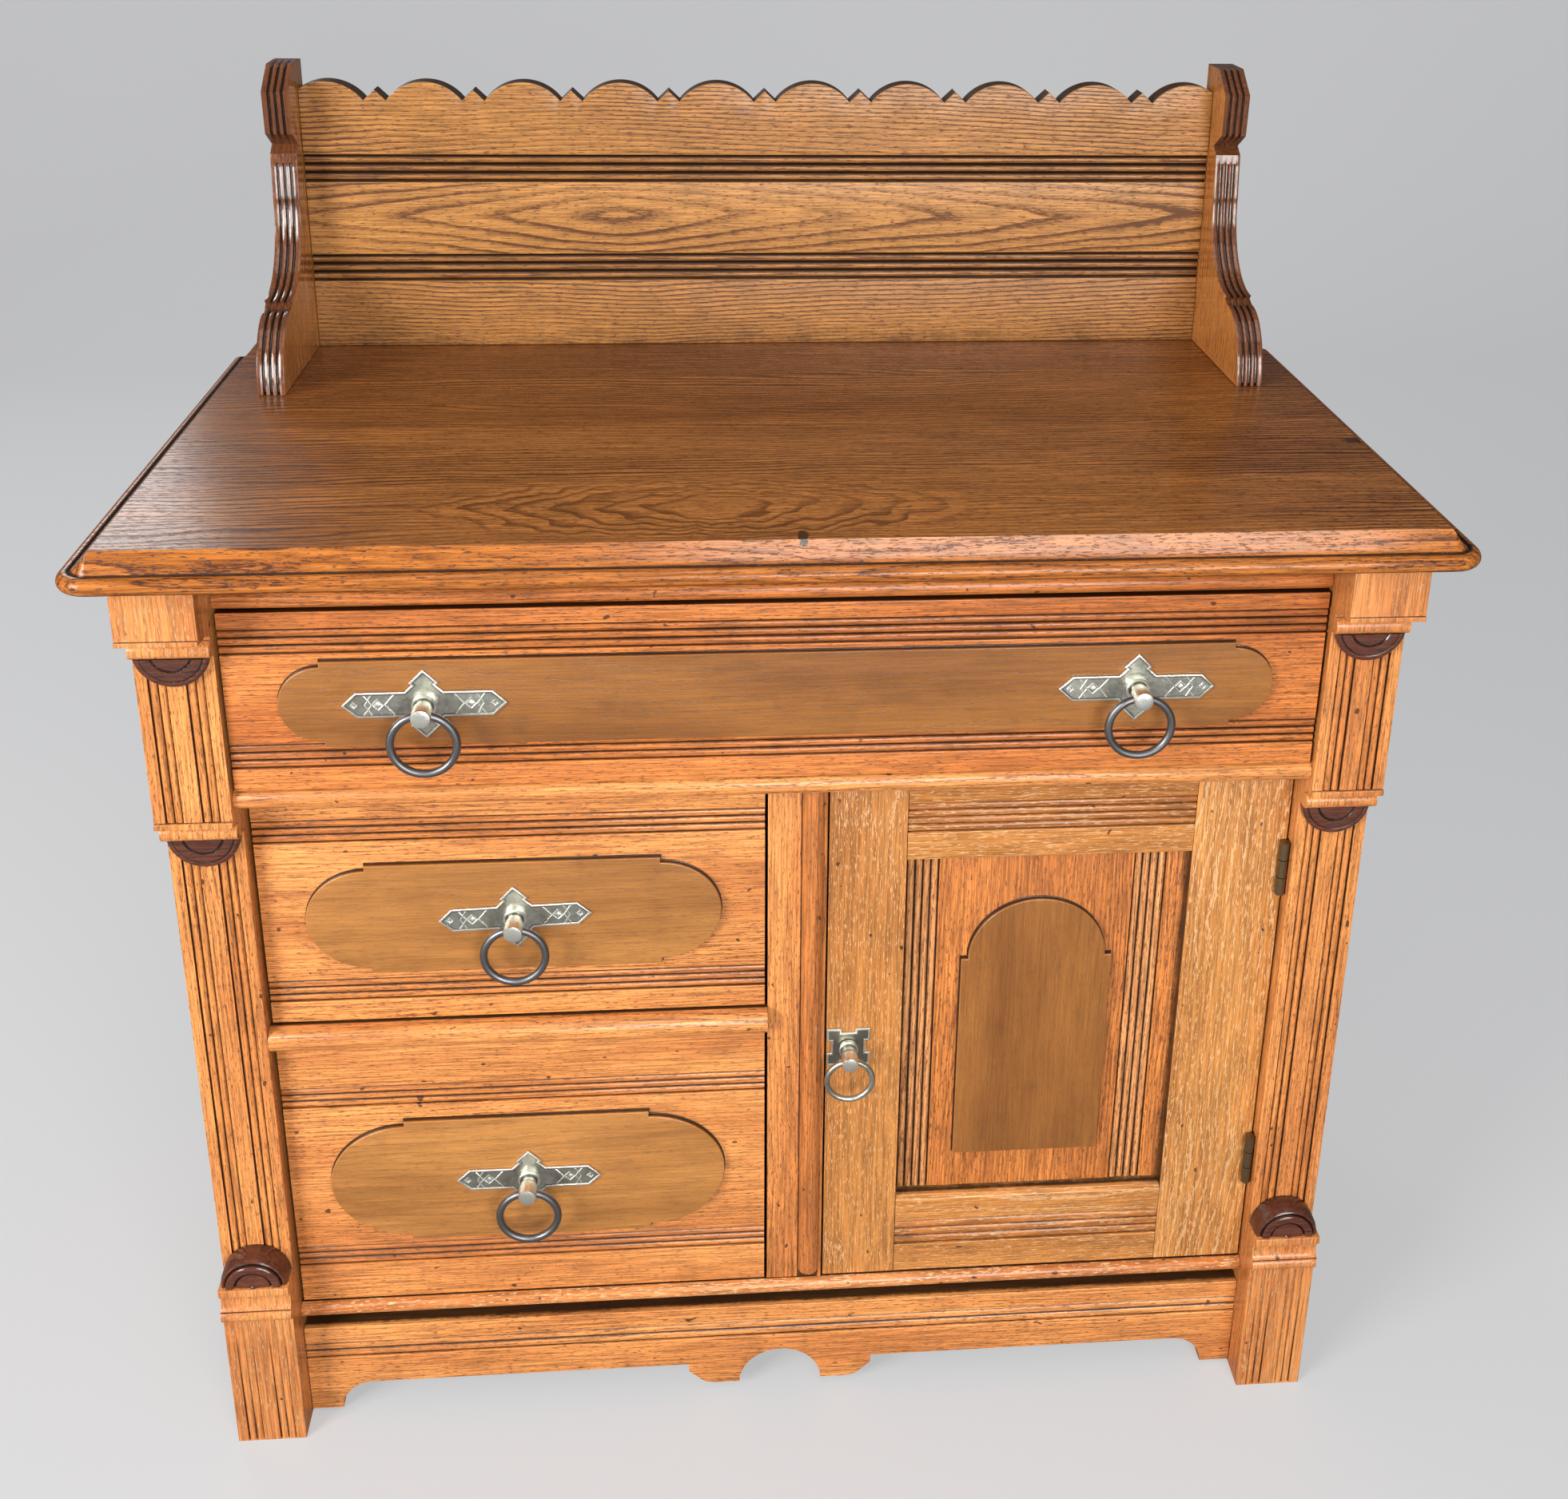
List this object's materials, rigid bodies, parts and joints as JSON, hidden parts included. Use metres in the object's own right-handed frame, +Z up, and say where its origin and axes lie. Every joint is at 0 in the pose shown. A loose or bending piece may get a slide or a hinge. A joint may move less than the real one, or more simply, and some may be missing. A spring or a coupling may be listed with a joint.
{
  "type": "washstand",
  "caption": "Golden varnished washstand with reeded posts: a long drawer over short drawers and a panelled cupboard, ring pulls, and a scalloped splash back between shaped brackets.",
  "frame": {"origin": "on the floor, under the middle of the top board's rectangle", "axes": "+Z up, +X to the viewer's right, +Y towards the wall, so the drawers open towards -Y"},
  "size_m": [0.848, 0.438, 0.9613],
  "materials": {
    "case_wood": "satin varnish over open-grained golden wood",
    "top_wood": "worn satin varnish, browner than the case",
    "splash_wood": "satin varnish",
    "bracket_wood": "glossy reddish varnish on the reeded edge",
    "roundel_walnut": "dark turned walnut",
    "overlay_wood": "smooth olive brown varnish",
    "inner_pine": "bare softwood",
    "plate_nickel": "aged nickel plate with a stippled ground",
    "ring_steel": "dark worn steel",
    "hinge_brass": "dark old brass"
  },
  "bodies": {
    "case": {"top_board": "top_wood", "splash_board": "splash_wood", "splash_bracket_left": "bracket_wood", "splash_bracket_right": "bracket_wood", "front_post_left": "case_wood", "front_post_right": "case_wood", "roundel_upper_left": "roundel_walnut", "roundel_upper_right": "roundel_walnut", "roundel_middle_left": "roundel_walnut", "roundel_middle_right": "roundel_walnut", "roundel_foot_left": "roundel_walnut", "roundel_foot_right": "roundel_walnut", "side_frame_left": "case_wood", "side_frame_right": "case_wood", "side_panel_left": "case_wood", "side_panel_right": "case_wood", "front_top_rail": "case_wood", "upper_drawer_rail": "case_wood", "lower_drawer_rail": "case_wood", "bottom_rail": "case_wood", "apron": "case_wood", "divider_stile": "case_wood", "upper_dust_board": "inner_pine", "lower_dust_board": "inner_pine", "bottom_board": "inner_pine", "partition_board": "inner_pine", "back_panel": "inner_pine", "case_hinge_leaf_lower": "hinge_brass", "case_hinge_leaf_upper": "hinge_brass"},
    "long_drawer": {"long_drawer_front": "case_wood", "long_drawer_box": "inner_pine", "long_drawer_bottom": "inner_pine", "long_drawer_overlay": "overlay_wood", "long_drawer_left_pull": "plate_nickel", "long_drawer_right_pull": "plate_nickel"},
    "upper_drawer": {"upper_drawer_front": "case_wood", "upper_drawer_box": "inner_pine", "upper_drawer_bottom": "inner_pine", "upper_drawer_overlay": "overlay_wood", "upper_drawer_pull": "plate_nickel"},
    "lower_drawer": {"lower_drawer_front": "case_wood", "lower_drawer_box": "inner_pine", "lower_drawer_bottom": "inner_pine", "lower_drawer_overlay": "overlay_wood", "lower_drawer_pull": "plate_nickel"},
    "door": {"door_latch_stile": "case_wood", "door_hinge_stile": "case_wood", "door_top_rail": "case_wood", "door_bottom_rail": "case_wood", "door_panel": "case_wood", "door_overlay": "overlay_wood", "door_hinge_leaf_lower": "hinge_brass", "door_hinge_leaf_upper": "hinge_brass", "latch_plate": "plate_nickel"},
    "latch": {"latch_turn": "plate_nickel"},
    "long_drawer_left_ring": {"long_drawer_left_ring": "ring_steel"},
    "long_drawer_right_ring": {"long_drawer_right_ring": "ring_steel"},
    "upper_drawer_ring": {"upper_drawer_ring": "ring_steel"},
    "lower_drawer_ring": {"lower_drawer_ring": "ring_steel"},
    "latch_ring": {"latch_ring": "ring_steel"}
  },
  "joints": [
    {"name": "long_drawer_slide", "type": "slide", "parent": "case", "child": "long_drawer", "axis": [0, -1, 0], "range_m": [0, 0.24]},
    {"name": "upper_drawer_slide", "type": "slide", "parent": "case", "child": "upper_drawer", "axis": [0, -1, 0], "range_m": [0, 0.24]},
    {"name": "lower_drawer_slide", "type": "slide", "parent": "case", "child": "lower_drawer", "axis": [0, -1, 0], "range_m": [0, 0.24]},
    {"name": "door_hinge", "type": "hinge", "parent": "case", "child": "door", "pos_m": [0.3493, -0.1329, 0.32025], "axis": [0, 0, 1], "range_deg": [0, 100]},
    {"name": "latch_turn", "type": "hinge", "parent": "door", "child": "latch", "pos_m": [0.0474, -0.129, 0.314], "axis": [0, 1, 0], "range_deg": [0, 90]},
    {"name": "long_drawer_left_ring_swing", "type": "hinge", "parent": "long_drawer", "child": "long_drawer_left_ring", "pos_m": [-0.2272, -0.17585, 0.61275], "axis": [-1, 0, 0], "range_deg": [-12, 100]},
    {"name": "long_drawer_right_ring_swing", "type": "hinge", "parent": "long_drawer", "child": "long_drawer_right_ring", "pos_m": [0.2272, -0.17585, 0.61275], "axis": [-1, 0, 0], "range_deg": [-12, 100]},
    {"name": "upper_drawer_ring_swing", "type": "hinge", "parent": "upper_drawer", "child": "upper_drawer_ring", "pos_m": [-0.1816, -0.14935, 0.4352], "axis": [-1, 0, 0], "range_deg": [-12, 100]},
    {"name": "lower_drawer_ring_swing", "type": "hinge", "parent": "lower_drawer", "child": "lower_drawer_ring", "pos_m": [-0.1816, -0.14935, 0.21395], "axis": [-1, 0, 0], "range_deg": [-12, 100]},
    {"name": "latch_ring_swing", "type": "hinge", "parent": "latch", "child": "latch_ring", "pos_m": [0.0474, -0.1461, 0.314], "axis": [-1, 0, 0], "range_deg": [-12, 100]}
  ]
}
